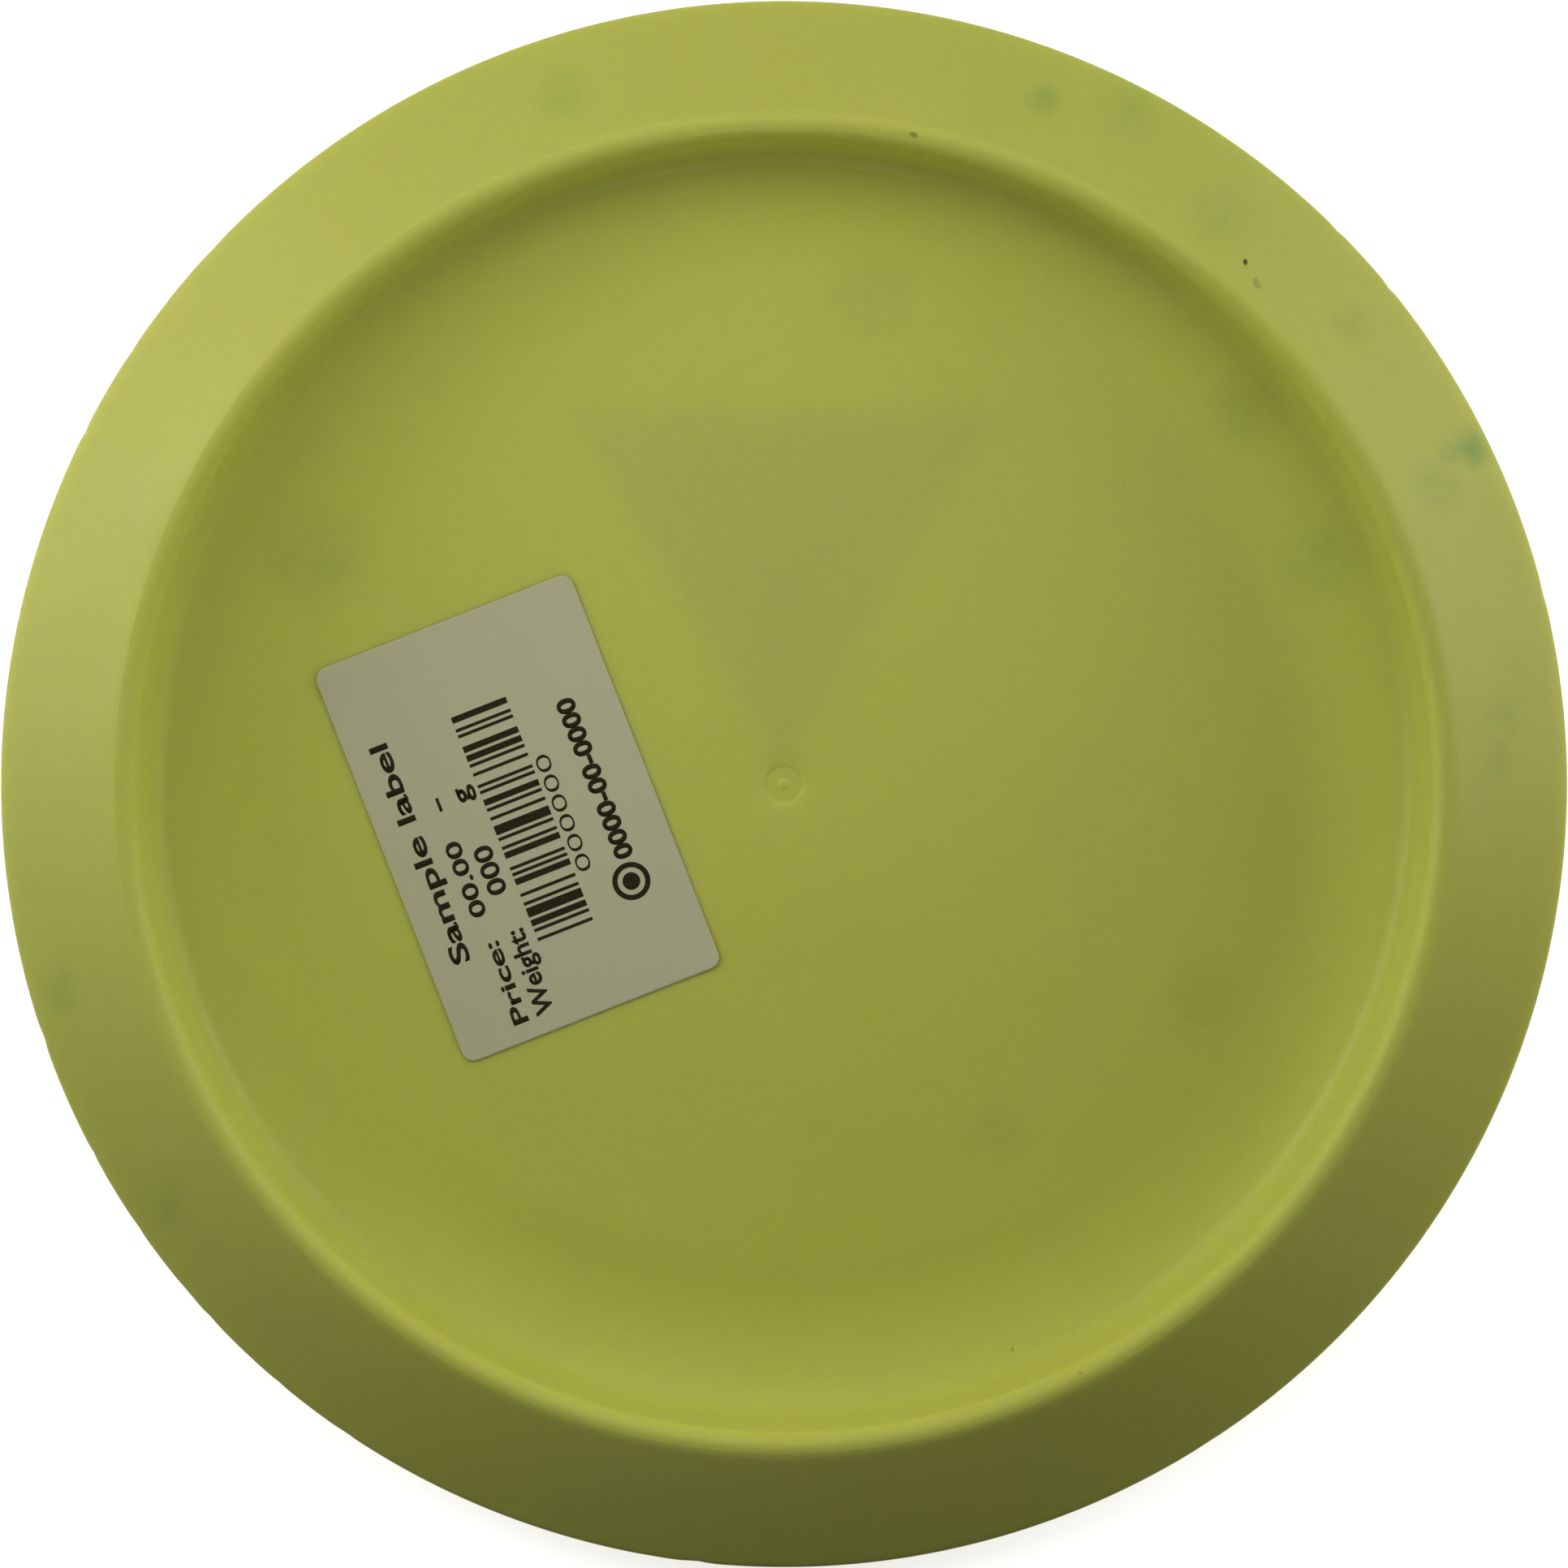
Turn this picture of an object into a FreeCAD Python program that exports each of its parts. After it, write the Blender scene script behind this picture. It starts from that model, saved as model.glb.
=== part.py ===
"""A disc-golf disc, lying upside down, with a paper label stuck inside it.

Millimetres. +Z points out of the disc's open side. The flat land in the middle of its top face lies on z = 0,
and the spin axis is the Z axis. The disc is one moulding, so nothing in this model moves.
"""

import FreeCAD, Part
import math
import os
import Sketcher

ORIGIN = (-1, 1)
HORIZONTAL_AXIS = -1
VERTICAL_AXIS = -2
START, END, CENTRE = 1, 2, 3
SAME_DIRECTION = 1e-6

# First places that the section's solver starts from
GUESSED_NOSE_START = math.radians(-45)
GUESSED_NOSE_END = math.radians(65)
GUESSED_FOOT_SLOPE = math.radians(18)

DIMENSIONS = [
    ("disc_diameter", 211.0, "widest part of the rim, the nose"),
    ("disc_height", 16.0, "flat top land to the rim's bottom edge"),
    ("rim_width", 20.0, "nose to inner wall"),
    ("rim_depth", 12.0, "rim's bottom edge to the plate, at the foot of the wall"),
    ("rim_land_width", 0.5, "flat ring that the disc stands on when it lies open side down"),
    ("rim_edge_radius", 2.0, "round between that ring and the inner wall"),
    ("foot_radius", 3.0, "fillet between the inner wall and the plate"),
    ("nose_radius", 1.4, "round at the nose"),
    ("nose_height", 6.3, "centre of the nose round, above the land"),
    ("plate_thickness", 1.8, "flight plate"),
    ("land_diameter", 124.0, "flat land in the middle of the top face"),
    ("floor_diameter", 138.0, "flat floor inside, which the label lies on"),
    ("shoulder_diameter", 169.0, "where the plate's slope meets the rim's steeper slope"),
    ("shoulder_height", 1.2, "of that circle, above the land"),
    ("gate_diameter", 5.2, "mark of the moulding gate, in the middle of the floor"),
    ("gate_depth", 0.25, ""),
    ("stamp_count", 5.0, "foil chevrons on the top face"),
    ("stamp_apex", 3.0, "point of the lowest chevron, above the disc's centre"),
    ("stamp_top", 51.0, "level that all the chevrons end at"),
    ("stamp_slope", 1.65, "rise over run of a chevron's arms"),
    ("stamp_band", 8.0, "height of a chevron's band along Y"),
    ("stamp_pitch", 9.5, "from one chevron's point to the next"),
    ("foil_depth", 0.05, "of the pressed-in foil, flush with the land"),
    ("label_length", 57.5, "along the reading direction"),
    ("label_width", 37.5, ""),
    ("label_corner", 1.7, "corner radius"),
    ("label_x", -36.3, "label's centre"),
    ("label_y", -4.7, ""),
    ("label_turn", 111.44, "reading direction, in degrees from +X"),
    ("adhesive_thickness", 0.03, ""),
    ("paper_thickness", 0.09, ""),
    ("print_thickness", 0.02, "black thermal print"),
    ("bar_module", 0.43, "narrowest bar"),
    ("bar_length", 8.0, ""),
    ("bar_start", -16.6, "first bar's edge, from the label's centre"),
    ("bar_bottom", -4.5, "lower end of the bars"),
    ("emblem_x", -13.6, "emblem's centre, from the label's centre"),
    ("emblem_y", -11.3, ""),
    ("emblem_radius", 2.6, "outer ring"),
    ("emblem_line", 0.7, "width of each ring"),
]

# Bars and gaps in turn, in modules. It encodes nothing.
BAR_PATTERN = [1, 2, 1, 1, 2, 1, 3, 1, 1, 2, 1, 3, 2, 1, 1, 1, 1, 3, 2, 1, 1, 2, 1, 1, 3, 2, 1, 2, 1, 1,
               2, 2, 1, 1, 1, 3, 1, 2, 1, 1, 2, 1, 2, 3, 1, 1, 1, 2, 2]

# Word blocks on the label: name, left end, right end, baseline and height, from the label's centre.
WORDS = [
    ("title", -15.6, 16.2, 13.0, 2.6),
    ("first_word", -26.2, -14.4, 8.65, 2.2),
    ("first_number", -10.6, 0.3, 8.65, 2.2),
    ("second_word", -26.2, -14.0, 4.9, 2.6),
    ("second_number", -8.7, -1.7, 4.9, 2.6),
    ("second_unit", 4.5, 6.8, 4.9, 2.6),
    ("bar_digits", -10.0, 6.9, -7.05, 2.15),
    ("footer", -10.4, 12.9, -12.9, 2.5),
]

doc = FreeCAD.newDocument("flying_disc")


def make_sheet():
    sheet = doc.addObject("Spreadsheet::Sheet", "Sizes")
    for row, (alias, value, note) in enumerate(DIMENSIONS, start=1):
        sheet.set(f"A{row}", alias)
        sheet.set(f"B{row}", str(value))
        sheet.set(f"C{row}", note)
        sheet.setAlias(f"B{row}", alias)
    doc.recompute()
    return sheet


sizes = make_sheet()


def bind(item, **expressions):
    """Ties properties to expressions. A dotted property name is written with double underscores."""
    for name, expression in expressions.items():
        item.setExpression(name.replace("__", "."), expression)


def value_of(expression):
    return float(sizes.evalExpression(expression.replace("Sizes.", "")))


def pin(sketch, geometry, position, x=None, y=None):
    """Ties a point's distances from the sketch's origin to expressions. "0" puts it on the axis."""
    for kind, axis, expression in (("DistanceX", VERTICAL_AXIS, x), ("DistanceY", HORIZONTAL_AXIS, y)):
        if expression is None:
            continue
        if expression == "0":
            sketch.addConstraint(Sketcher.Constraint("PointOnObject", geometry, position, axis))
            continue
        distance = Sketcher.Constraint(kind, *ORIGIN, geometry, position, value_of(expression))
        sketch.setExpression(f"Constraints[{sketch.addConstraint(distance)}]", expression)


def set_radius(sketch, arc, expression):
    constraint = Sketcher.Constraint("Radius", arc, value_of(expression))
    sketch.setExpression(f"Constraints[{sketch.addConstraint(constraint)}]", expression)


def point(x, y):
    return FreeCAD.Vector(x, y, 0)


def line(sketch, first, last):
    return sketch.addGeometry(Part.LineSegment(point(*first), point(*last)))


def arc(sketch, centre, radius, start, end):
    circle = Part.Circle(point(*centre), FreeCAD.Vector(0, 0, 1), radius)
    return sketch.addGeometry(Part.ArcOfCircle(circle, start, end))


def polygon(sketch, corners):
    """Closed polygon whose corners are pairs of expressions."""
    places = [(value_of(x), value_of(y)) for x, y in corners]
    sides = [line(sketch, a, b) for a, b in zip(places, places[1:] + places[:1])]
    for side, following in zip(sides, sides[1:] + sides[:1]):
        sketch.addConstraint(Sketcher.Constraint("Coincident", side, END, following, START))
    for side, (x, y) in zip(sides, corners):
        pin(sketch, side, START, x, y)


def sketch_in(body, name, plane, height=None):
    """Sketch on one of the body's origin planes, moved off it by an expression if one is given."""
    sketch = body.newObject("Sketcher::SketchObject", name)
    origin_plane = next(f for f in body.Origin.OriginFeatures if f.Role == plane)
    sketch.AttachmentSupport = [(origin_plane, "")]
    sketch.MapMode = "FlatFace"
    if height:
        bind(sketch, AttachmentOffset__Base__z=height)
    return sketch


def make_profile(body):
    """Half section of the disc. Sketch x is the radius and sketch y is the height above the land."""
    sketch = sketch_in(body, "section", "XZ_Plane")
    nose_x = "Sizes.disc_diameter / 2 - Sizes.nose_radius"
    wall_x = "Sizes.disc_diameter / 2 - Sizes.rim_width"
    slope_x = f"{wall_x} + Sizes.rim_edge_radius + Sizes.rim_land_width"
    floor_x = "Sizes.floor_diameter / 2"
    foot_y = "Sizes.disc_height - Sizes.rim_depth"
    shoulder_x = "Sizes.shoulder_diameter / 2"
    land_x = "Sizes.land_diameter / 2"

    nose, edge, foot = (value_of(f"Sizes.{name}_radius") for name in ("nose", "rim_edge", "foot"))
    height, thickness = value_of("Sizes.disc_height"), value_of("Sizes.plate_thickness")
    nose_at = (value_of(nose_x), value_of("Sizes.nose_height"))
    land, floor, wall = value_of(land_x), value_of(floor_x), value_of(wall_x)
    shoulder = (value_of(shoulder_x), value_of("Sizes.shoulder_height"))
    foot_centre = (wall - foot, value_of(foot_y) + foot)

    def rising_arc(start, end):
        """Arc that leaves its start level and climbs to its end, with its centre above the start."""
        run, rise = end[0] - start[0], end[1] - start[1]
        radius = (run**2 + rise**2) / (2 * rise)
        sweep = math.asin(run / radius)
        return arc(sketch, (start[0], start[1] + radius), radius, -math.pi / 2, sweep - math.pi / 2), sweep

    def climbing_arc(start, start_slope, end):
        """Arc that leaves its start at a slope and climbs to its end."""
        run, rise = end[0] - start[0], end[1] - start[1]
        turn = math.atan2(rise, run) - start_slope
        radius = math.hypot(run, rise) / (2 * math.sin(turn))
        centre = (start[0] - radius * math.sin(start_slope), start[1] + radius * math.cos(start_slope))
        first = start_slope - math.pi / 2
        return arc(sketch, centre, radius, first, first + 2 * turn)

    def on_nose(angle):
        return nose_at[0] + nose * math.cos(angle), nose_at[1] + nose * math.sin(angle)

    land_line = line(sketch, (0, 0), (land, 0))
    plate_slope, shoulder_slope = rising_arc((land, 0), shoulder)
    rim_top = climbing_arc(shoulder, shoulder_slope, on_nose(GUESSED_NOSE_START))
    nose_arc = arc(sketch, nose_at, nose, GUESSED_NOSE_START, GUESSED_NOSE_END)
    slope_end = (value_of(slope_x), height)
    rim_slope = line(sketch, on_nose(GUESSED_NOSE_END), slope_end)
    rim_land = line(sketch, slope_end, (wall + edge, height))
    edge_arc = arc(sketch, (wall + edge, height - edge), edge, math.pi / 2, math.pi)
    wall_line = line(sketch, (wall, height - edge), (wall, foot_centre[1]))
    floor_rise_end = (
        foot_centre[0] + foot * math.sin(GUESSED_FOOT_SLOPE),
        foot_centre[1] - foot * math.cos(GUESSED_FOOT_SLOPE),
    )
    floor_slope, foot_slope = rising_arc((floor, thickness), floor_rise_end)
    foot_arc = arc(sketch, foot_centre, foot, foot_slope - math.pi / 2, 0)
    floor_line = line(sketch, (floor, thickness), (0, thickness))
    axis_line = line(sketch, (0, thickness), (0, 0))

    def join(kind, first, first_end, second, second_end):
        sketch.addConstraint(Sketcher.Constraint(kind, first, first_end, second, second_end))

    join("Coincident", land_line, START, *ORIGIN)
    join("Tangent", land_line, END, plate_slope, START)
    join("Tangent", plate_slope, END, rim_top, START)
    join("Tangent", rim_top, END, nose_arc, START)
    join("Tangent", nose_arc, END, rim_slope, START)
    join("Coincident", rim_slope, END, rim_land, START)
    join("Tangent", rim_land, END, edge_arc, START)
    join("Tangent", edge_arc, END, wall_line, START)
    join("Tangent", wall_line, END, foot_arc, END)
    join("Tangent", foot_arc, START, floor_slope, END)
    join("Tangent", floor_slope, START, floor_line, START)
    join("Coincident", floor_line, END, axis_line, START)
    join("Coincident", axis_line, END, *ORIGIN)
    for level in (land_line, rim_land, floor_line):
        sketch.addConstraint(Sketcher.Constraint("Horizontal", level))
    sketch.addConstraint(Sketcher.Constraint("Vertical", wall_line))
    sketch.addConstraint(Sketcher.Constraint("Vertical", axis_line))

    pin(sketch, land_line, END, x=land_x)
    pin(sketch, plate_slope, END, shoulder_x, "Sizes.shoulder_height")
    pin(sketch, nose_arc, CENTRE, nose_x, "Sizes.nose_height")
    pin(sketch, rim_land, START, slope_x, "Sizes.disc_height")
    pin(sketch, floor_slope, START, floor_x, "Sizes.plate_thickness")
    pin(sketch, wall_line, START, x=wall_x)
    pin(sketch, floor_slope, END, y=foot_y)
    set_radius(sketch, nose_arc, "Sizes.nose_radius")
    set_radius(sketch, edge_arc, "Sizes.rim_edge_radius")
    set_radius(sketch, foot_arc, "Sizes.foot_radius")
    return sketch


def chevron_corners(number):
    """Corners of one V-shaped band, as expressions. All bands end at one level."""
    outer = f"Sizes.stamp_apex + {number} * Sizes.stamp_pitch"
    inner = f"{outer} + Sizes.stamp_band"
    outer_half, inner_half = (f"(Sizes.stamp_top - ({low})) / Sizes.stamp_slope" for low in (outer, inner))
    top = "Sizes.stamp_top"
    return [
        ("0", outer), (outer_half, top), (inner_half, top),
        ("0", inner), (f"-({inner_half})", top), (f"-({outer_half})", top),
    ]


def draw_stamp(sketch):
    for number in range(int(value_of("Sizes.stamp_count"))):
        polygon(sketch, chevron_corners(number))


def pocket(body, sketch, name, depth, upwards):
    cut = body.newObject("PartDesign::Pocket", name)
    cut.Profile = sketch
    cut.Type = "Length"
    cut.Reversed = upwards
    bind(cut, Length=depth)
    return cut


def make_disc():
    """The moulding: a turned blank, the pressed bed of the foil, and the gate mark."""
    body = doc.addObject("PartDesign::Body", "disc_body")
    section = make_profile(body)
    blank = body.newObject("PartDesign::Revolution", "disc_blank")
    blank.Profile = section
    blank.ReferenceAxis = (section, ["V_Axis"])
    blank.Angle = 360
    doc.recompute()
    blank_volume = blank.Shape.Volume

    stamp = sketch_in(body, "stamp_outline", "XY_Plane")
    draw_stamp(stamp)
    pocket(body, stamp, "stamp_bed", "Sizes.foil_depth", upwards=True)

    gate = sketch_in(body, "gate_circle", "XY_Plane", "Sizes.plate_thickness")
    radius = value_of("Sizes.gate_diameter / 2")
    circle = gate.addGeometry(Part.Circle(point(0, 0), FreeCAD.Vector(0, 0, 1), radius))
    gate.addConstraint(Sketcher.Constraint("Coincident", circle, CENTRE, *ORIGIN))
    set_radius(gate, circle, "Sizes.gate_diameter / 2")
    pocket(body, gate, "gate_mark", "Sizes.gate_depth", upwards=False)
    doc.recompute()
    assert body.Shape.Volume < blank_volume, "the pockets cut nothing"
    assert section.FullyConstrained, "the section's sketch is not fully constrained"
    return body


def make_foil():
    """Foil chevrons, each its own solid, flush with the land."""
    outline = doc.addObject("Sketcher::SketchObject", "foil_outline")
    draw_stamp(outline)
    foil = doc.addObject("Part::Extrusion", "hot_stamp_foil")
    foil.Base = outline
    foil.DirMode = "Custom"
    foil.Dir = FreeCAD.Vector(0, 0, 1)
    foil.Solid = True
    bind(foil, LengthFwd="Sizes.foil_depth")
    return foil


def place_on_label(item, height):
    """Puts a piece in the label's own axes, at a height above the land."""
    item.Placement = FreeCAD.Placement(FreeCAD.Vector(), FreeCAD.Rotation(FreeCAD.Vector(0, 0, 1), 1))
    bind(
        item,
        Placement__Base__x="Sizes.label_x",
        Placement__Base__y="Sizes.label_y",
        Placement__Base__z=height,
        Placement__Rotation__Angle="Sizes.label_turn",
    )


def make_label_layer(name, height, thickness):
    """Rectangle with round corners."""
    body = doc.addObject("PartDesign::Body", name)
    sketch = sketch_in(body, f"{name}_outline", "XY_Plane")
    right, top = "Sizes.label_length / 2", "Sizes.label_width / 2"
    polygon(sketch, [(f"-{right}", f"-{top}"), (right, f"-{top}"), (right, top), (f"-{right}", top)])
    pad = body.newObject("PartDesign::Pad", f"{name}_pad")
    pad.Profile = sketch
    bind(pad, Length=thickness)
    doc.recompute()
    upright = [
        f"Edge{number}"
        for number, edge in enumerate(pad.Shape.Edges, start=1)
        if edge.tangentAt(edge.FirstParameter).cross(FreeCAD.Vector(0, 0, 1)).Length < SAME_DIRECTION
    ]
    corners = body.newObject("PartDesign::Fillet", f"{name}_corners")
    corners.Base = (pad, upright)
    bind(corners, Radius="Sizes.label_corner")
    place_on_label(body, height)
    return body


def make_block(name, left, bottom, length, width):
    """Thin printed rectangle in the label's axes. Its four sizes are expressions."""
    block = doc.addObject("Part::Box", name)
    bind(
        block,
        Length=length,
        Width=width,
        Height="Sizes.print_thickness",
        Placement__Base__x=left,
        Placement__Base__y=bottom,
    )
    return block


def gather(name, items):
    """One node that holds several printed solids."""
    group = doc.addObject("Part::Compound", name)
    group.Links = items
    place_on_label(group, PRINT_HEIGHT)
    return group


def make_bars():
    bars, passed = [], 0
    for number, width in enumerate(BAR_PATTERN):
        if number % 2 == 0:
            left = f"Sizes.bar_start + {passed} * Sizes.bar_module"
            length = f"{width} * Sizes.bar_module"
            bars.append(make_block(f"bar_{number}", left, "Sizes.bar_bottom", length, "Sizes.bar_length"))
        passed += width
    return gather("barcode_print", bars)


def make_words():
    blocks = [
        make_block(name, f"{left}", f"{bottom}", f"{right - left}", f"{height}")
        for name, left, right, bottom, height in WORDS
    ]
    return gather("text_print", blocks)


def make_rod(name, radius):
    rod = doc.addObject("Part::Cylinder", name)
    bind(
        rod,
        Radius=radius,
        Height="Sizes.print_thickness",
        Placement__Base__x="Sizes.emblem_x",
        Placement__Base__y="Sizes.emblem_y",
    )
    return rod


def make_emblem():
    """Plain ring with a dot in it."""
    ring = doc.addObject("Part::Cut", "emblem_ring")
    ring.Base = make_rod("ring_outside", "Sizes.emblem_radius")
    ring.Tool = make_rod("ring_inside", "Sizes.emblem_radius - Sizes.emblem_line")
    dot = make_rod("emblem_dot", "Sizes.emblem_radius - 2 * Sizes.emblem_line")
    return gather("emblem_print", [ring, dot])


ADHESIVE_HEIGHT = "Sizes.plate_thickness"
PAPER_HEIGHT = f"{ADHESIVE_HEIGHT} + Sizes.adhesive_thickness"
PRINT_HEIGHT = f"{PAPER_HEIGHT} + Sizes.paper_thickness"

nodes = [
    make_disc(),
    make_foil(),
    make_label_layer("label_adhesive", ADHESIVE_HEIGHT, "Sizes.adhesive_thickness"),
    make_label_layer("label_paper", PAPER_HEIGHT, "Sizes.paper_thickness"),
    make_bars(),
    make_words(),
    make_emblem(),
]
doc.recompute()

for item in doc.Objects:
    if {"Invalid", "Error"} & set(item.State):
        raise RuntimeError(f"{item.Name} did not compute: {item.State}")
for node in nodes:
    if node.Shape.isNull() or not node.Shape.isValid() or not node.Shape.Solids:
        raise RuntimeError(f"{node.Label} has no valid shape")

os.makedirs("parts", exist_ok=True)
for node in nodes:
    node.Shape.exportStep(f"parts/{node.Label}.step")
    print(f"{node.Label}: {len(node.Shape.Solids)} solids, {node.Shape.Volume / 1000:.3f} cm3")
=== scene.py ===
"""A used disc-golf disc lying open side up, with a paper label stuck inside it.

Lengths named in millimetres are turned into metres by the constant MM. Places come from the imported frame.
"""

import math
import random

import bmesh
import bpy
from mathutils import Matrix, Vector, noise


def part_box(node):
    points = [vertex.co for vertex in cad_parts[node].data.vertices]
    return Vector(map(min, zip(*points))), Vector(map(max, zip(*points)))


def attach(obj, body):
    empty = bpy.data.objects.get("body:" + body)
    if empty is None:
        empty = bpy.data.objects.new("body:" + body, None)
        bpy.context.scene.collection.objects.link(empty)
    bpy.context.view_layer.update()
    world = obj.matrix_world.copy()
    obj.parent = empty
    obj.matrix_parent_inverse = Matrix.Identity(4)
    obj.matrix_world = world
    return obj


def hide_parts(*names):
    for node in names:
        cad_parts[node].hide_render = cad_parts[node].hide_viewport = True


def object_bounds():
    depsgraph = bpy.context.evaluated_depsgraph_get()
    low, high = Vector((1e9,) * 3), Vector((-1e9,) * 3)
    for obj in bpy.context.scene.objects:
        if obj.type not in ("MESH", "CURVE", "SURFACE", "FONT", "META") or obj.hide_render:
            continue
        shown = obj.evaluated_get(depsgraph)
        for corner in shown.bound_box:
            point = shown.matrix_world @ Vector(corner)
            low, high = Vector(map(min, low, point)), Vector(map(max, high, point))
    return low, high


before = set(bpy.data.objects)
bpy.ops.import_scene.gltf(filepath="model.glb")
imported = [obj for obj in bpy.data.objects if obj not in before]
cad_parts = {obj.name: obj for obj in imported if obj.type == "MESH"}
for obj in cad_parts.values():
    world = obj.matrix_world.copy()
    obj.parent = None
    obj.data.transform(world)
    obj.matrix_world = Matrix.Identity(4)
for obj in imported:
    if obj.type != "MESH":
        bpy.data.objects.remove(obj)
cad_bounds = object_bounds()

MM = 0.001
ROOT = "root"

# --- sizes -----------------------------------------------------------------------------------------------

disc_low, disc_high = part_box("disc_body")
HEIGHT = disc_high.z - disc_low.z
RADIUS = 105.5 * MM
RIM_WIDTH = 20.0 * MM
WALL_RADIUS = RADIUS - RIM_WIDTH
FOOT_LEVEL = HEIGHT - 12 * MM
RIM_LAND_WIDTH = 0.5 * MM
EDGE_ROUND = 2.0 * MM
FOOT_ROUND = 3.0 * MM
NOSE_ROUND = 1.4 * MM
NOSE_LEVEL = 6.3 * MM
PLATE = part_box("label_adhesive")[0].z
LAND_RADIUS = 62 * MM
FLOOR_RADIUS = 69 * MM
SHOULDER = Vector((84.5 * MM, 1.2 * MM))
GATE_RADIUS = 2.6 * MM
GATE_DEPTH = 0.25 * MM
GATE_LIP = 0.3 * MM
GATE_PIP = 0.18 * MM
SECTORS = 512

LABEL_LOW, LABEL_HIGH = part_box("label_paper")
LABEL_CENTRE = (LABEL_LOW + LABEL_HIGH) / 2
LABEL_TURN = math.radians(111.44)
LABEL_LENGTH = 57.5 * MM
LABEL_WIDTH = 37.5 * MM
LABEL_CORNER = 1.7 * MM
INK_LOW, INK_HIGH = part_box("barcode_print")

# Corners of the label that have come up: side along and across, height and reach
PEELED_CORNERS = [
    (1, 1, 0.35 * MM, 7 * MM),
    (-1, -1, 0.25 * MM, 6 * MM),
    (1, -1, 0.15 * MM, 5 * MM),
]


# --- small tools -----------------------------------------------------------------------------------------


def add_object(name, mesh, body=ROOT):
    item = bpy.data.objects.new(name, mesh)
    bpy.context.scene.collection.objects.link(item)
    if body:
        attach(item, body)
    return item


def mesh_from(name, vertices, faces, smooth=True):
    mesh = bpy.data.meshes.new(name)
    mesh.from_pydata(vertices, [], faces)
    mesh.validate()
    if smooth:
        mesh.shade_smooth()
    return mesh


def baked_mesh(item):
    """New mesh of an object as its modifiers or its curve settings make it."""
    bpy.context.view_layer.update()
    return bpy.data.meshes.new_from_object(item.evaluated_get(bpy.context.evaluated_depsgraph_get()))


def arc_points(centre, radius, first, last, steps):
    """Points along an arc, both ends included. Angles are in radians, anticlockwise."""
    return [
        Vector((centre[0] + radius * math.cos(a), centre[1] + radius * math.sin(a)))
        for a in (first + (last - first) * i / steps for i in range(steps + 1))
    ]


def line_points(first, last, steps):
    return [Vector(first).lerp(Vector(last), i / steps) for i in range(steps + 1)]


def smoothstep(low, high, value):
    t = min(max((value - low) / (high - low), 0.0), 1.0)
    return t * t * (3 - 2 * t)


# --- disc ------------------------------------------------------------------------------------------------


def disc_section():
    """Half section from the middle of the land, round the rim, to the middle of the floor inside."""
    shoulder_run = SHOULDER.x - LAND_RADIUS
    plate_arc = (shoulder_run**2 + SHOULDER.y**2) / (2 * SHOULDER.y)
    shoulder_slope = math.asin(shoulder_run / plate_arc)

    nose = Vector((RADIUS - NOSE_ROUND, NOSE_LEVEL))
    to_nose = nose - SHOULDER
    upright = Vector((-math.sin(shoulder_slope), math.cos(shoulder_slope)))
    rim_arc = (to_nose.length_squared - NOSE_ROUND**2) / (2 * (upright.dot(to_nose) - NOSE_ROUND))
    rim_centre = SHOULDER + upright * rim_arc
    to_rim_centre = nose - rim_centre
    nose_start = math.atan2(to_rim_centre.y, to_rim_centre.x)

    slope_end = Vector((WALL_RADIUS + EDGE_ROUND + RIM_LAND_WIDTH, HEIGHT))
    to_slope_end = slope_end - nose
    nose_end = math.atan2(to_slope_end.y, to_slope_end.x) - math.acos(NOSE_ROUND / to_slope_end.length)
    nose_top = nose + NOSE_ROUND * Vector((math.cos(nose_end), math.sin(nose_end)))

    floor_rise = FOOT_LEVEL - PLATE
    floor_run = WALL_RADIUS - FOOT_ROUND - FLOOR_RADIUS
    foot_slope = 0.2  # radians, a first guess that the loop brings to the true value
    for _ in range(20):
        foot_slope = 2 * math.atan(floor_rise / (floor_run + FOOT_ROUND * math.sin(foot_slope)))
    floor_arc = floor_rise / (1 - math.cos(foot_slope))
    foot_centre = Vector((WALL_RADIUS - FOOT_ROUND, FOOT_LEVEL + FOOT_ROUND * math.cos(foot_slope)))

    down = -math.pi / 2
    edge_centre = (WALL_RADIUS + EDGE_ROUND, HEIGHT - EDGE_ROUND)
    stretches = [
        line_points((LAND_RADIUS / 2, 0), (LAND_RADIUS, 0), 4),
        arc_points((LAND_RADIUS, plate_arc), plate_arc, down, down + shoulder_slope, 12),
        arc_points(rim_centre, rim_arc, down + shoulder_slope, nose_start, 24),
        arc_points(nose, NOSE_ROUND, nose_start, nose_end, 18),
        line_points(nose_top, slope_end, 16),
        line_points(slope_end, (WALL_RADIUS + EDGE_ROUND, HEIGHT), 4),
        arc_points(edge_centre, EDGE_ROUND, math.pi / 2, math.pi, 12),
        line_points((WALL_RADIUS, HEIGHT - EDGE_ROUND), (WALL_RADIUS, foot_centre.y), 8),
        arc_points(foot_centre, FOOT_ROUND, 0, down + foot_slope, 12),
        arc_points((FLOOR_RADIUS, PLATE + floor_arc), floor_arc, down + foot_slope, down, 12),
        line_points((FLOOR_RADIUS, PLATE), (GATE_RADIUS + GATE_LIP, PLATE), 24),
        gate_section(),
    ]
    points = []
    for stretch in stretches:
        points += stretch if not points else stretch[1:]
    return add_parting_line(points)


def gate_section():
    """Round recess that the moulding gate left, with a soft lip and a small pip in the middle."""
    steps = 14
    points = []
    for i in range(steps + 1):
        r = (GATE_RADIUS + GATE_LIP) * (1 - i / (steps + 1))
        depth = GATE_DEPTH * smoothstep(GATE_RADIUS + GATE_LIP, GATE_RADIUS - GATE_LIP, r)
        pip = GATE_PIP * smoothstep(0.9 * MM, 0.3 * MM, r)
        points.append(Vector((r, PLATE - depth + pip)))
    return points


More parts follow.
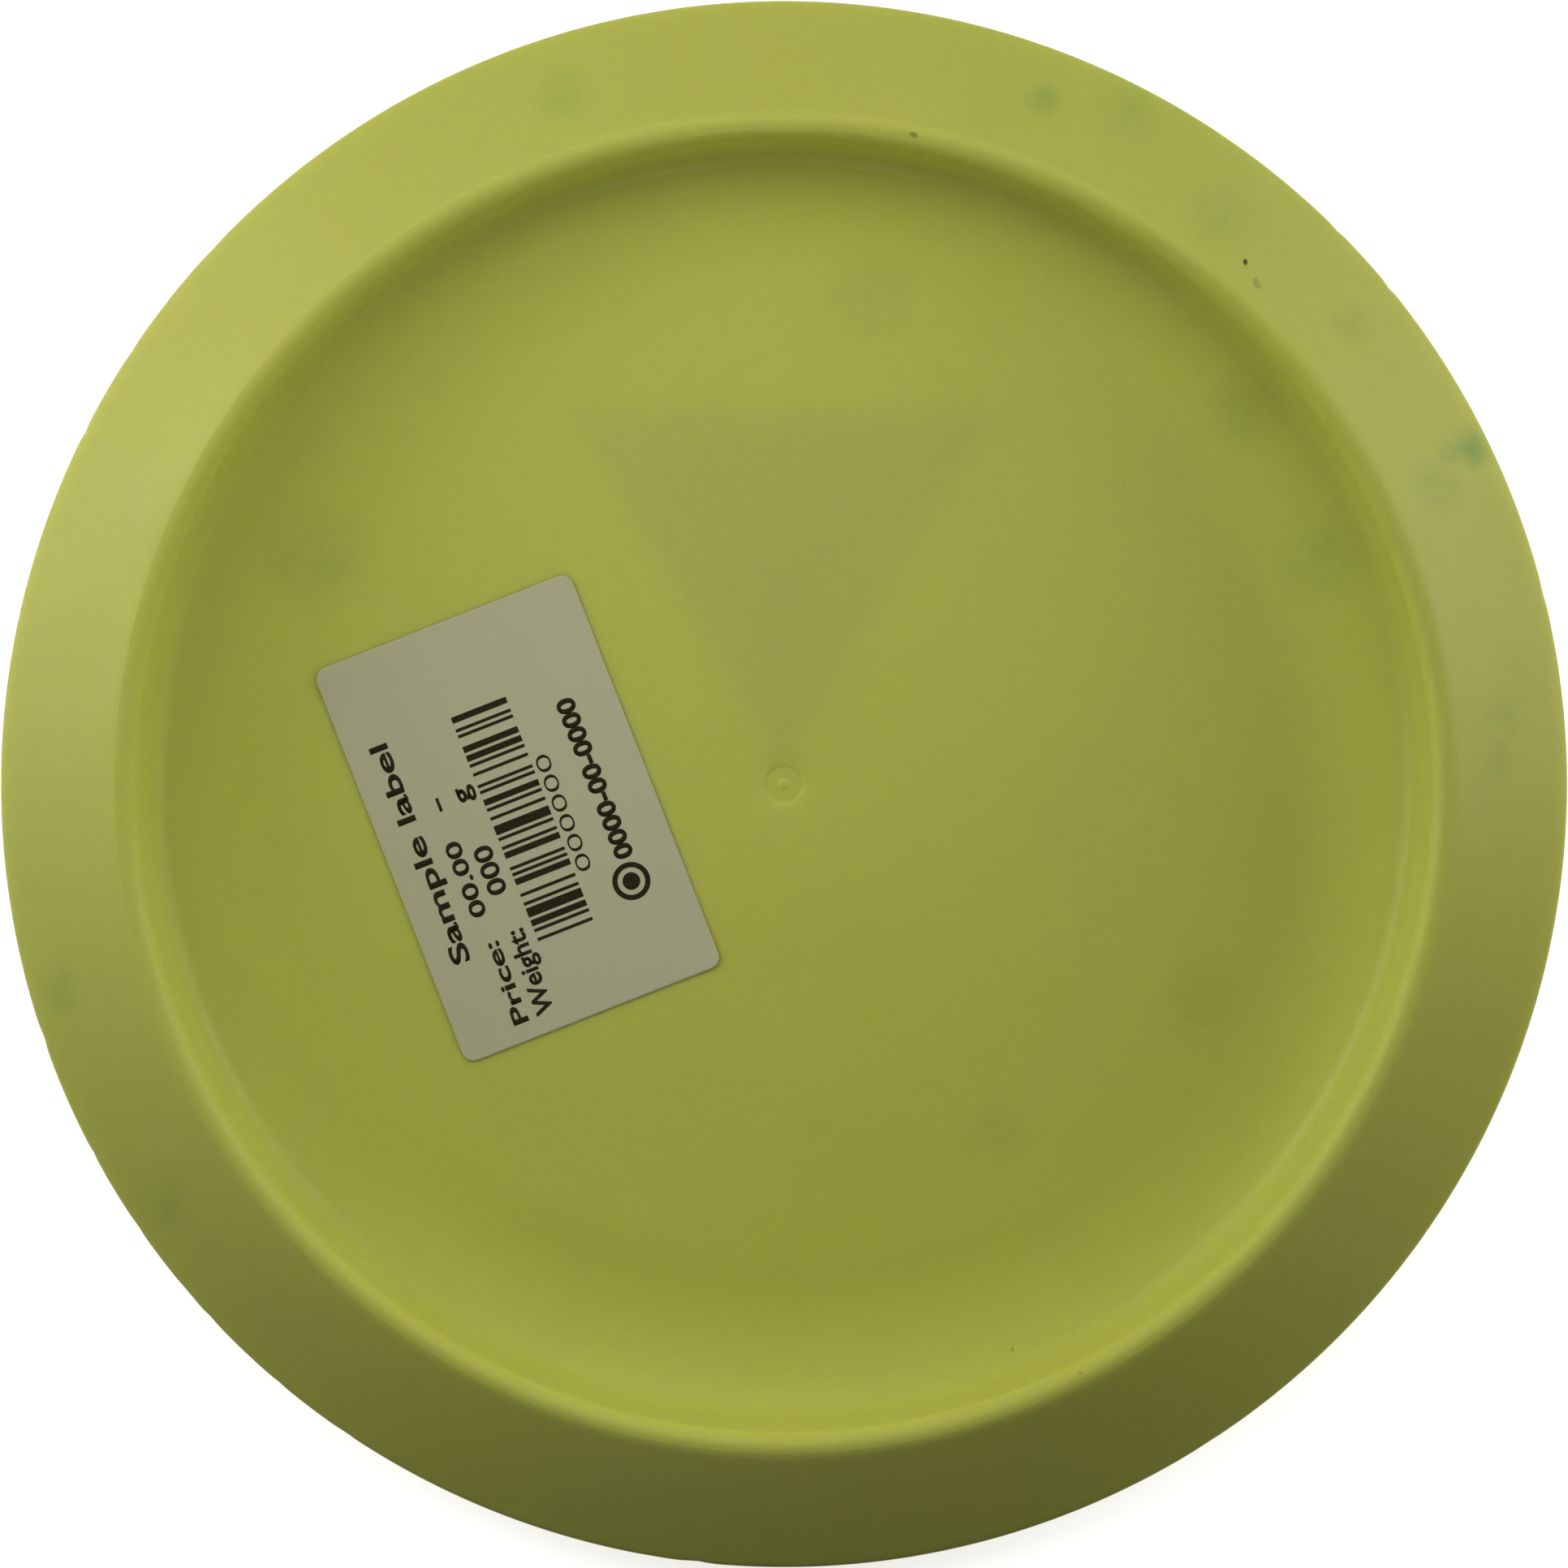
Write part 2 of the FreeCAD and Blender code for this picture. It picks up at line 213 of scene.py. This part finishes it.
def add_parting_line(points):
    """Low bead where the two mould halves met, round the nose."""
    bead_height = 0.05 * MM
    bead_half = 0.2 * MM
    for p in points:
        if p.x > RADIUS - NOSE_ROUND:
            p.x += bead_height * smoothstep(bead_half, 0, abs(p.y - NOSE_LEVEL))
    return points


# Wear: how many knocks, their reach in half widths, the band they are in, and a slow wave that mostly sinks
KNOCKS = 34
KNOCK_REACH = 2.5
WORN_WIDTH = 4 * MM
WAVE_SCALE = 26
WAVE_SINK = 0.6
FLOOR_WAVE = 0.05 * MM
RIM_WAVE = 0.06 * MM


def nicks():
    """Knocks from trees and stones along the nose: angle, level, half width and depth of each."""
    draw = random.Random(41)
    return [
        (
            draw.uniform(0, 2 * math.pi),
            NOSE_LEVEL + draw.uniform(-1.6, 1.4) * MM,
            draw.uniform(0.4, 1.3) * MM,
            draw.uniform(0.05, 0.22) * MM,
        )
        for _ in range(KNOCKS)
    ]


def wear(point, knocks):
    """Moves one point of the moulding: knocks at the nose, and a slow wave on the rim and the floor."""
    r = math.hypot(point.x, point.y)
    if r > RADIUS - WORN_WIDTH:
        angle = math.atan2(point.y, point.x) % (2 * math.pi)
        push = 0.0
        for knock_angle, level, half, depth in knocks:
            turn = (angle - knock_angle + math.pi) % (2 * math.pi) - math.pi
            away = math.hypot(turn * RADIUS, point.z - level) / half
            if away < KNOCK_REACH:
                push += depth * math.exp(-away * away)
        point.x -= push * math.cos(angle)
        point.y -= push * math.sin(angle)
    wave = noise.noise(Vector((point.x, point.y, 0)) * WAVE_SCALE) - WAVE_SINK
    if point.z > PLATE - GATE_DEPTH and r < WALL_RADIUS - FOOT_ROUND:
        fade = smoothstep(WALL_RADIUS - FOOT_ROUND, FLOOR_RADIUS, r)
        point.z += FLOOR_WAVE * wave * fade
    elif point.z > NOSE_LEVEL:
        fade = smoothstep(NOSE_LEVEL, HEIGHT, point.z)
        point.z += RIM_WAVE * wave * fade
    return point


def make_disc_mesh():
    section = disc_section()
    knocks = nicks()
    vertices = [Vector((0, 0, 0)), Vector((0, 0, section[-1].y))]
    for p in section:
        for k in range(SECTORS):
            angle = 2 * math.pi * k / SECTORS
            vertices.append(wear(Vector((p.x * math.cos(angle), p.x * math.sin(angle), p.y)), knocks))
    first_ring, last_ring = 2, 2 + (len(section) - 1) * SECTORS
    faces = []
    for k in range(SECTORS):
        after = (k + 1) % SECTORS
        faces.append((0, first_ring + after, first_ring + k))
        faces.append((1, last_ring + k, last_ring + after))
        for ring in range(len(section) - 1):
            low = 2 + ring * SECTORS
            faces.append((low + k, low + after, low + SECTORS + after, low + SECTORS + k))
    return mesh_from("disc", vertices, faces)


def press_stamp_bed(disc):
    """Cuts the shallow bed of the foil into the land."""
    cutter_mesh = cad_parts["hot_stamp_foil"].data.copy()
    outer_face, below = 0.01 * MM, -1 * MM
    for v in cutter_mesh.vertices:
        if v.co.z < outer_face:
            v.co.z = below
    cutter = add_object("stamp_cutter", cutter_mesh, body=None)
    cut = disc.modifiers.new("stamp_bed", "BOOLEAN")
    cut.operation = "DIFFERENCE"
    cut.solver = "EXACT"
    cut.object = cutter
    pressed = baked_mesh(disc)
    disc.modifiers.remove(cut)
    disc.data = pressed
    bpy.data.objects.remove(cutter)
    sharpen(pressed, math.radians(35))


def sharpen(mesh, angle):
    edit = bmesh.new()
    edit.from_mesh(mesh)
    for edge in edit.edges:
        edge.smooth = not (edge.is_manifold and edge.calc_face_angle() > angle)
    edit.to_mesh(mesh)
    edit.free()


# --- label -----------------------------------------------------------------------------------------------


def paper_lift(u, v):
    """How far the paper has come off the plate, at a place in the label's axes."""
    lift = 0.0
    for side_u, side_v, height, reach in PEELED_CORNERS:
        away = math.hypot(side_u * LABEL_LENGTH / 2 - u, side_v * LABEL_WIDTH / 2 - v)
        lift += height * smoothstep(reach, 0, away) ** 2
    return lift


def spread(count, end_share=0.25):
    """Places from -1 to 1, closer together near both ends."""
    return [math.sin(math.pi / 2 * (1 - end_share) * t) / math.sin(math.pi / 2 * (1 - end_share))
            for t in (2 * i / count - 1 for i in range(count + 1))]


def make_paper_mesh():
    """Thin sheet with round corners, as a closed solid in the label's axes."""
    columns, rows = spread(96), spread(72, 0.02)
    top = LABEL_HIGH.z - LABEL_LOW.z
    half_u, half_v = LABEL_LENGTH / 2, LABEL_WIDTH / 2

    def place(column, row, level):
        v = row * half_v
        into_corner = max(abs(v) - (half_v - LABEL_CORNER), 0)
        pulled_in = LABEL_CORNER - math.sqrt(max(LABEL_CORNER**2 - into_corner**2, 0))
        u = column * (half_u - pulled_in)
        return Vector((u, v, level + paper_lift(u, v)))

    vertices = [place(c, r, level) for level in (0, top) for r in rows for c in columns]
    across, along = len(columns), len(rows)
    layer = across * along

    def at(level, i, j):
        return level * layer + j * across + i

    faces = []
    for j in range(along - 1):
        for i in range(across - 1):
            faces.append((at(1, i, j), at(1, i + 1, j), at(1, i + 1, j + 1), at(1, i, j + 1)))
            faces.append((at(0, i, j), at(0, i, j + 1), at(0, i + 1, j + 1), at(0, i + 1, j)))
    last_i, last_j = across - 1, along - 1
    for i in range(last_i):
        faces.append((at(0, i, 0), at(0, i + 1, 0), at(1, i + 1, 0), at(1, i, 0)))
        faces.append((at(0, i + 1, last_j), at(0, i, last_j), at(1, i, last_j), at(1, i + 1, last_j)))
    for j in range(last_j):
        faces.append((at(0, 0, j + 1), at(0, 0, j), at(1, 0, j), at(1, 0, j + 1)))
        faces.append((at(0, last_i, j), at(0, last_i, j + 1), at(1, last_i, j + 1), at(1, last_i, j)))
    return mesh_from("label_sheet", vertices, faces)


def label_matrix(level):
    place = Vector((LABEL_CENTRE.x, LABEL_CENTRE.y, level))
    return Matrix.Translation(place) @ Matrix.Rotation(LABEL_TURN, 4, "Z")


# Generic words and figures: text, left end, right end, baseline and capital height in millimetres, weight
LINES = [
    ("Sample label", -15.6, 16.2, 13.0, 2.6, 0.02),
    ("Price:", -26.2, -14.4, 8.65, 2.2, 0.02),
    ("00.00", -10.6, 0.3, 8.65, 2.2, 0.02),
    ("-", 4.7, 6.6, 8.65, 2.2, 0.02),
    ("Weight:", -26.2, -14.0, 4.9, 2.6, 0.02),
    ("000", -8.7, -1.7, 4.9, 2.6, 0.02),
    ("g", 4.5, 6.8, 4.9, 2.6, 0.02),
    ("000000", -10.0, 6.9, -7.05, 2.15, -0.012),
    ("0000-00-0000", -10.4, 12.9, -12.9, 2.5, 0.035),
]
CAPITAL_SHARE = 0.729


def make_words():
    """Turns each line of print into one flat solid and joins them all."""
    words = bmesh.new()
    for text, left, right, baseline, capital, weight in LINES:
        curve = bpy.data.curves.new("line_of_print", "FONT")
        curve.body = text
        curve.size = 1
        curve.offset = weight
        curve.resolution_u = 5
        curve.extrude = 0
        holder = add_object("line_of_print", curve, body=None)
        flat = baked_mesh(holder)
        xs = [v.co.x for v in flat.vertices]
        low, high = min(xs), max(xs)
        tall = capital / CAPITAL_SHARE * MM
        wide = (right - left) * MM / (high - low)
        for v in flat.vertices:
            v.co = Vector((left * MM + (v.co.x - low) * wide, baseline * MM + v.co.y * tall, 0))
        words.from_mesh(flat)
        bpy.data.objects.remove(holder)
    bmesh.ops.remove_doubles(words, verts=words.verts, dist=0.001 * MM)
    sides = bmesh.ops.extrude_face_region(words, geom=words.faces[:])
    raised = [v for v in sides["geom"] if isinstance(v, bmesh.types.BMVert)]
    bmesh.ops.translate(words, verts=raised, vec=(0, 0, INK_HIGH.z - INK_LOW.z))
    bmesh.ops.recalc_face_normals(words, faces=words.faces[:])
    mesh = bpy.data.meshes.new("words")
    words.to_mesh(mesh)
    words.free()
    return mesh


# --- materials -------------------------------------------------------------------------------------------


class Shader:
    """Short calls for building a node material around one Principled shader."""

    def __init__(self, name):
        self.material = bpy.data.materials.new(name)
        self.material.use_nodes = True
        self.tree = self.material.node_tree
        self.surface = self.tree.nodes["Principled BSDF"]
        places = self.add("ShaderNodeTexCoord")
        self.coordinates = places.outputs["Object"]
        self.normal = places.outputs["Normal"]

    def add(self, kind, **settings):
        node = self.tree.nodes.new(kind)
        for name, value in settings.items():
            setattr(node, name, value)
        return node

    def feed(self, socket, source):
        """Links a socket, or sets its value where the source is a plain number, tuple or vector."""
        if isinstance(source, bpy.types.NodeSocket):
            self.tree.links.new(source, socket)
        else:
            socket.default_value = source

    def maths(self, operation, first, second=0.0, clamp=False):
        node = self.add("ShaderNodeMath", operation=operation, use_clamp=clamp)
        self.feed(node.inputs[0], first)
        self.feed(node.inputs[1], second)
        return node.outputs[0]

    def stretch(self, value, low, high, to_low=0.0, to_high=1.0, smooth=False):
        node = self.add("ShaderNodeMapRange", interpolation_type="SMOOTHSTEP" if smooth else "LINEAR")
        for socket, source in zip(node.inputs, (value, low, high, to_low, to_high)):
            self.feed(socket, source)
        return node.outputs[0]

    def noise(self, scale, detail=3.0, roughness=0.5, distortion=0.0, where=None):
        node = self.add("ShaderNodeTexNoise")
        self.feed(node.inputs["Vector"], where or self.coordinates)
        node.inputs["Scale"].default_value = scale
        node.inputs["Detail"].default_value = detail
        node.inputs["Roughness"].default_value = roughness
        node.inputs["Distortion"].default_value = distortion
        return node.outputs["Fac"]

    def squeezed(self, scale, turn=0.0):
        """Object coordinates scaled along their axes, for fibres and hairlines."""
        node = self.add("ShaderNodeMapping")
        self.feed(node.inputs["Vector"], self.coordinates)
        node.inputs["Rotation"].default_value = (0, 0, turn)
        node.inputs["Scale"].default_value = scale
        return node.outputs["Vector"]

    def in_plan(self):
        """Object coordinates with their height taken out."""
        node = self.add("ShaderNodeVectorMath", operation="MULTIPLY")
        self.feed(node.inputs[0], self.coordinates)
        node.inputs[1].default_value = (1, 1, 0)
        return node.outputs["Vector"]

    def jitter(self, vector, scale, reach):
        """Moves places about by up to half of reach, so that what is drawn at them is uneven."""
        node = self.add("ShaderNodeTexNoise")
        self.feed(node.inputs["Vector"], vector)
        node.inputs["Scale"].default_value = scale
        node.inputs["Detail"].default_value = 2
        shift = self.add("ShaderNodeVectorMath", operation="MULTIPLY_ADD")
        self.feed(shift.inputs[0], node.outputs["Color"])
        shift.inputs[1].default_value = (reach, reach, 0)
        shift.inputs[2].default_value = (-reach / 2, -reach / 2, 0)
        moved = self.add("ShaderNodeVectorMath", operation="ADD")
        self.feed(moved.inputs[0], vector)
        self.feed(moved.inputs[1], shift.outputs["Vector"])
        return moved.outputs["Vector"]

    def part(self, vector, axis):
        node = self.add("ShaderNodeSeparateXYZ")
        self.feed(node.inputs[0], vector)
        return node.outputs[axis]

    def distance_to(self, place, where):
        node = self.add("ShaderNodeVectorMath", operation="DISTANCE")
        self.feed(node.inputs[0], where)
        node.inputs[1].default_value = place
        return node.outputs["Value"]

    def mix(self, share, first, second):
        node = self.add("ShaderNodeMix", data_type="RGBA")
        self.feed(node.inputs["Factor"], share)
        self.feed(node.inputs["A"], first)
        self.feed(node.inputs["B"], second)
        return node.outputs["Result"]

    def bump(self, height, distance, strength=1.0, before=None):
        node = self.add("ShaderNodeBump")
        self.feed(node.inputs["Height"], height)
        node.inputs["Distance"].default_value = distance
        node.inputs["Strength"].default_value = strength
        if before:
            self.feed(node.inputs["Normal"], before)
        return node.outputs["Normal"]

    def set(self, **sockets):
        for name, source in sockets.items():
            self.feed(self.surface.inputs[name.replace("_", " ")], source)


# Marks that other things rubbed onto the disc: x and y in millimetres, radius in millimetres, strength
SMUDGES = [
    (92.2, 45.0, 4.2, 1.0),
    (89.4, 44.2, 3.4, 0.5),
    (34.5, 91.2, 3.8, 0.6),
    (46.2, 89.6, 6.5, 0.25),
    (58.0, 75.3, 7.0, 0.25),
    (75.8, 61.6, 4.4, 0.32),
    (86.4, 39.6, 5.5, 0.34),
    (95.3, 9.0, 4.5, 0.28),
    (95.0, 3.5, 4.0, 0.24),
    (-29.2, 91.5, 6.0, 0.3),
    (-96.5, -27.8, 4.5, 0.35),
    (-82.0, -56.0, 6.0, 0.25),
    (62.7, 51.0, 8.0, 0.3),
    (73.0, 31.0, 8.5, 0.3),
    (-64.0, 31.0, 11.0, 0.3),
    (28.8, -47.5, 7.0, 0.15),
    (57.0, -29.0, 7.0, 0.2),
    (12.0, 66.0, 9.0, 0.25),
]
SPECKS = [
    (60.6, 68.9, 0.5, 1.0),
    (62.3, 66.1, 0.8, 0.22),
    (17.0, 85.0, 0.45, 0.4),
    (31.0, -77.0, 0.3, 0.3),
    (39.0, -77.5, 0.3, 0.2),
]

# The foil's pattern in millimetres, and where its shadow starts and is full at the sides and at the top
STAMP_APEX, STAMP_TOP, STAMP_SLOPE = 3.0, 51.0, 1.65
SIDE_FADE = (STAMP_APEX - 16, STAMP_APEX + 22)
TOP_FADE = (STAMP_TOP + 7, STAMP_TOP - 9)
MARK_GRAIN = 170
MARK_RAGGED = 3.2 * MM


def blotches(shader, marks, core):
    """Soft marks seen in plan, a little out of round. Each is full strength out to a share of its radius."""
    plan = shader.jitter(shader.in_plan(), MARK_GRAIN, MARK_RAGGED)
    total = 0.0
    for x, y, radius, strength in marks:
        away = shader.distance_to((x * MM, y * MM, 0), plan)
        spot = shader.stretch(away, radius * MM, radius * core * MM, 0.0, strength, smooth=True)
        total = shader.maths("MAXIMUM", total, spot)
    return total


def stamp_shadow(shader):
    """Soft share of the foil's shadow that comes through the plate."""
    off_middle = shader.maths("ABSOLUTE", shader.part(shader.coordinates, "X"))
    level = shader.part(shader.coordinates, "Y")
    climb = shader.maths("SUBTRACT", level, shader.maths("MULTIPLY", off_middle, STAMP_SLOPE))
    inside = shader.stretch(climb, SIDE_FADE[0] * MM, SIDE_FADE[1] * MM, smooth=True)
    under_top = shader.stretch(level, TOP_FADE[0] * MM, TOP_FADE[1] * MM, smooth=True)
    return shader.maths("MULTIPLY", inside, under_top)


def disc_material():
    """Translucent yellow-green TPU, satin from the mould, with rubbed-in marks, specks and hairlines."""
    shader = Shader("tpu_yellow_green")
    clean = (0.775, 0.81, 0.23, 1)
    warm = (0.79, 0.80, 0.215, 1)
    green = (0.61, 0.73, 0.29, 1)
    teal = (0.30, 0.57, 0.17, 1)
    grey = (0.60, 0.68, 0.31, 1)
    dirt = (0.16, 0.12, 0.05, 1)

    mottle = shader.stretch(shader.noise(14, 4, 0.55, 0.4), 0.35, 0.68, smooth=True)
    colour = shader.mix(mottle, clean, warm)
    stain = shader.stretch(shader.noise(38, 5, 0.6, 0.8), 0.52, 0.78, 0.0, 0.14)
    colour = shader.mix(stain, colour, green)
    colour = shader.mix(shader.maths("MULTIPLY", stamp_shadow(shader), 0.2), colour, grey)

    open_side = shader.stretch(shader.part(shader.normal, "Z"), 0.05, 0.3)
    ragged = shader.stretch(shader.noise(260, 5, 0.7, 1.0), 0.34, 0.66, 0.35, 1.0)
    smudges = shader.maths("MULTIPLY", blotches(shader, SMUDGES, 0.0), ragged)
    smudges = shader.maths("MULTIPLY", smudges, open_side)
    colour = shader.mix(shader.maths("MULTIPLY", smudges, 0.75), colour, teal)
    specks = shader.maths("MULTIPLY", blotches(shader, SPECKS, 0.4), open_side)
    colour = shader.mix(specks, colour, dirt)

    hairlines = shader.noise(1, 2, 0.4, where=shader.squeezed((2600, 60, 300), 0.5))
    crossing = shader.noise(1, 2, 0.4, where=shader.squeezed((50, 2200, 300), -0.3))
    scratch = shader.maths("MAXIMUM", hairlines, crossing)
    scratch = shader.stretch(scratch, 0.66, 0.74)
    grain = shader.noise(2400, 4, 0.6)
    skin = shader.noise(310, 3, 0.5)

    rough = shader.stretch(shader.noise(60, 4, 0.6), 0.3, 0.7, 0.45, 0.56)
    rough = shader.maths("ADD", rough, shader.maths("MULTIPLY", scratch, 0.12), clamp=True)
    normal = shader.bump(skin, 0.05 * MM, 0.25)
    normal = shader.bump(grain, 0.012 * MM, 0.35, normal)
    normal = shader.bump(scratch, -0.02 * MM, 0.4, normal)

    shader.set(
        Base_Color=colour,
        Roughness=rough,
        IOR=1.5,
        Subsurface_Weight=1.0,
        Subsurface_Radius=(1.0, 0.95, 0.35),
        Subsurface_Scale=2 * MM,
        Specular_IOR_Level=0.55,
        Normal=normal,
    )
    return shader.material


def foil_material():
    """Hot-stamped metallic foil, worn thin in places."""
    shader = Shader("hot_stamp_foil")
    worn = shader.stretch(shader.noise(900, 5, 0.7, 0.6), 0.60, 0.68)
    tone = shader.mix(shader.noise(40, 3), (0.10, 0.19, 0.26, 1), (0.17, 0.28, 0.34, 1))
    colour = shader.mix(worn, tone, (0.62, 0.66, 0.16, 1))
    metal = shader.maths("SUBTRACT", 1.0, worn)
    rough = shader.stretch(shader.noise(500, 4), 0.3, 0.7, 0.22, 0.4)
    normal = shader.bump(shader.noise(1600, 3), 0.01 * MM, 0.4)
    shader.set(Base_Color=colour, Metallic=metal, Roughness=rough, Normal=normal)
    return shader.material


def paper_material():
    """Thermal label paper, a little yellowed, with fibres."""
    shader = Shader("label_paper")
    fibres = shader.noise(1, 4, 0.6, 0.8, where=shader.squeezed((900, 2600, 900), 0.2))
    cloud = shader.noise(120, 4, 0.6)
    colour = shader.mix(cloud, (0.80, 0.79, 0.54, 1), (0.77, 0.775, 0.54, 1))
    colour = shader.mix(shader.stretch(fibres, 0.58, 0.75, 0.0, 0.12), colour, (0.66, 0.64, 0.42, 1))
    normal = shader.bump(fibres, 0.02 * MM, 0.35)
    shader.set(
        Base_Color=colour,
        Roughness=shader.stretch(cloud, 0.3, 0.7, 0.66, 0.8),
        Specular_IOR_Level=0.3,
        Subsurface_Weight=0.1,
        Subsurface_Radius=(1.0, 1.0, 0.8),
        Subsurface_Scale=0.3 * MM,
        Normal=normal,
    )
    return shader.material


def glue_material():
    shader = Shader("label_glue")
    tone = shader.mix(shader.noise(300, 3), (0.66, 0.66, 0.42, 1), (0.72, 0.71, 0.48, 1))
    shader.set(Base_Color=tone, Roughness=0.35)
    return shader.material


def ink_material():
    """Black thermal print, slightly uneven where the paper's fibres stand up."""
    shader = Shader("thermal_print")
    uneven = shader.noise(2600, 4, 0.7)
    black, worn = (0.055, 0.052, 0.022, 1), (0.10, 0.095, 0.045, 1)
    tone = shader.mix(shader.stretch(uneven, 0.45, 0.75), black, worn)
    normal = shader.bump(uneven, 0.006 * MM, 0.3)
    shader.set(
        Base_Color=tone,
        Roughness=shader.stretch(uneven, 0.3, 0.7, 0.55, 0.75),
        Specular_IOR_Level=0.2,
        Normal=normal,
    )
    return shader.material


def pale_material(name, colour, glow):
    """Even pale paint of the studio, lifted so that it photographs nearly white."""
    shader = Shader(name)
    plain, cool = (colour, colour, colour, 1), (colour - 0.01, colour - 0.01, colour, 1)
    tone = shader.mix(shader.noise(0.8, 2), plain, cool)
    shader.set(Base_Color=tone, Roughness=0.9, Specular_IOR_Level=0.1)
    shader.surface.inputs["Emission Color"].default_value = (1, 1, 1, 1)
    shader.surface.inputs["Emission Strength"].default_value = glow
    return shader.material


# --- pieces ----------------------------------------------------------------------------------------------


def paint(item, material):
    item.data.materials.clear()
    item.data.materials.append(material)


def make_disc():
    disc = add_object("disc", make_disc_mesh())
    press_stamp_bed(disc)
    paint(disc, disc_material())
    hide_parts("disc_body")


def make_label():
    ink = ink_material()
    paper = add_object("label_sheet", make_paper_mesh(), body=None)
    paper.data.transform(label_matrix(LABEL_LOW.z))
    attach(paper, ROOT)
    paint(paper, paper_material())
    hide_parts("label_paper")

    words = add_object("label_words", make_words(), body=None)
    words.data.transform(label_matrix(INK_LOW.z))
    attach(words, ROOT)
    paint(words, ink)
    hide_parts("text_print")

    for node in ("barcode_print", "emblem_print"):
        paint(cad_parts[node], ink)
    paint(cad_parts["label_adhesive"], glue_material())


# --- studio ----------------------------------------------------------------------------------------------

FLOOR_GLOW = 0.78
TABLE_GLOW = 0.18
TABLE_RADIUS = 0.6

# Soft round lights: name, azimuth and elevation in degrees, distance and size in metres, and power in watts
LIGHTS = [
    ("window_left_high", 150, 42, 0.43, 0.34, 0.46),
    ("window_right_high", 58, 62, 0.43, 0.34, 0.42),
    ("window_left_low", 160, 14, 1.15, 0.9, 4.4),
    ("window_right_low", 20, 14, 1.15, 0.9, 5.5),
]

FILL_POWER = 2.8
FILL_CONE = math.radians(16)
FILL_SIZE = 0.06
FILL_PLACE = Vector((-0.02, -0.44, 0.29))
FILL_TARGET = Vector((-0.01, WALL_RADIUS + 4 * MM, FOOT_LEVEL))


def make_studio_floor():
    """Round floor that curves up into a low wall, and glows so that the camera sees it nearly white.

    It lights nothing. A table top just below it, which the camera doesn't see, throws light back and sends a
    little through the plate.
    """
    flat_radius, bend, wall_top = 1.5, 0.5, 1.6
    profile = [Vector((0.05, 0)), Vector((0.3, 0)), Vector((flat_radius, 0))]
    profile += arc_points((flat_radius, bend), bend, -math.pi / 2, 0, 12)[1:]
    profile.append(Vector((flat_radius + bend, wall_top)))
    sectors = 96
    vertices = [Vector((0, 0, 0))]
    for p in profile:
        for k in range(sectors):
            angle = 2 * math.pi * k / sectors
            vertices.append(Vector((p.x * math.cos(angle), p.x * math.sin(angle), p.y)))
    faces = []
    for k in range(sectors):
        after = (k + 1) % sectors
        faces.append((0, 1 + k, 1 + after))
        for ring in range(len(profile) - 1):
            low = 1 + ring * sectors
            faces.append((low + k, low + sectors + k, low + sectors + after, low + after))
    mesh = mesh_from("studio_floor", vertices, faces)

    seen = add_object("studio_floor", mesh, body=None)
    seen.location.z = cad_bounds[0][2] - 0.02 * MM
    seen.visible_diffuse = seen.visible_glossy = seen.visible_transmission = seen.visible_shadow = False
    paint(seen, pale_material("studio_paint", 0.86, FLOOR_GLOW))

    table_outline = bmesh.new()
    bmesh.ops.create_circle(table_outline, cap_ends=True, segments=64, radius=TABLE_RADIUS)
    table = bpy.data.meshes.new("bounce_floor")
    table_outline.to_mesh(table)
    table_outline.free()
    bounce = add_object("bounce_floor", table, body=None)
    bounce.location.z = seen.location.z - 0.05 * MM
    bounce.visible_camera = False
    paint(bounce, pale_material("bounce_paint", 0.7, TABLE_GLOW))


def add_light(name, azimuth, elevation, distance, size, power):
    """Round soft light aimed at the disc. Azimuth is anticlockwise from +X."""
    light = bpy.data.lights.new(name, "AREA")
    light.shape = "DISK"
    light.size = size
    light.energy = power
    item = bpy.data.objects.new(name, light)
    bpy.context.scene.collection.objects.link(item)
    a, e = math.radians(azimuth), math.radians(elevation)
    away = Vector((math.cos(a) * math.cos(e), math.sin(a) * math.cos(e), math.sin(e)))
    item.location = away * distance
    item.rotation_euler = away.to_track_quat("Z", "Y").to_euler()
    item.visible_camera = False


def add_fill():
    """Narrow soft spot from the dark side, which opens up the shadow under the lit side's wall."""
    spot = bpy.data.lights.new("fill", "SPOT")
    spot.energy = FILL_POWER
    spot.spot_size = FILL_CONE
    spot.spot_blend = 1.0
    spot.shadow_soft_size = FILL_SIZE
    item = bpy.data.objects.new("fill", spot)
    bpy.context.scene.collection.objects.link(item)
    item.location = FILL_PLACE
    item.rotation_euler = (FILL_PLACE - FILL_TARGET).to_track_quat("Z", "Y").to_euler()
    item.visible_camera = False


def light_studio():
    for light in LIGHTS:
        add_light(*light)
    add_fill()
    world = bpy.data.worlds.new("room")
    world.use_nodes = True
    bpy.context.scene.world = world
    world.node_tree.nodes["Background"].inputs["Strength"].default_value = 0.0


def place_camera():
    """Straight above the disc, as far off as makes the disc fill the frame."""
    distance = 380 * MM
    sensor = 36.0
    frame_share = 0.9983
    lens = bpy.data.cameras.new("camera")
    lens.sensor_width = sensor
    lens.lens = frame_share * sensor / 2 * distance / RADIUS
    lens.clip_start = 0.01
    lens.clip_end = 20
    camera = bpy.data.objects.new("camera", lens)
    bpy.context.scene.collection.objects.link(camera)
    camera.location = (0, 0, NOSE_LEVEL + distance)
    bpy.context.scene.camera = camera


view = bpy.context.scene.view_settings
view.view_transform = "Standard"
view.gamma = 0.77
place_camera()
make_disc()
paint(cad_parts["hot_stamp_foil"], foil_material())
make_label()
make_studio_floor()
light_studio()
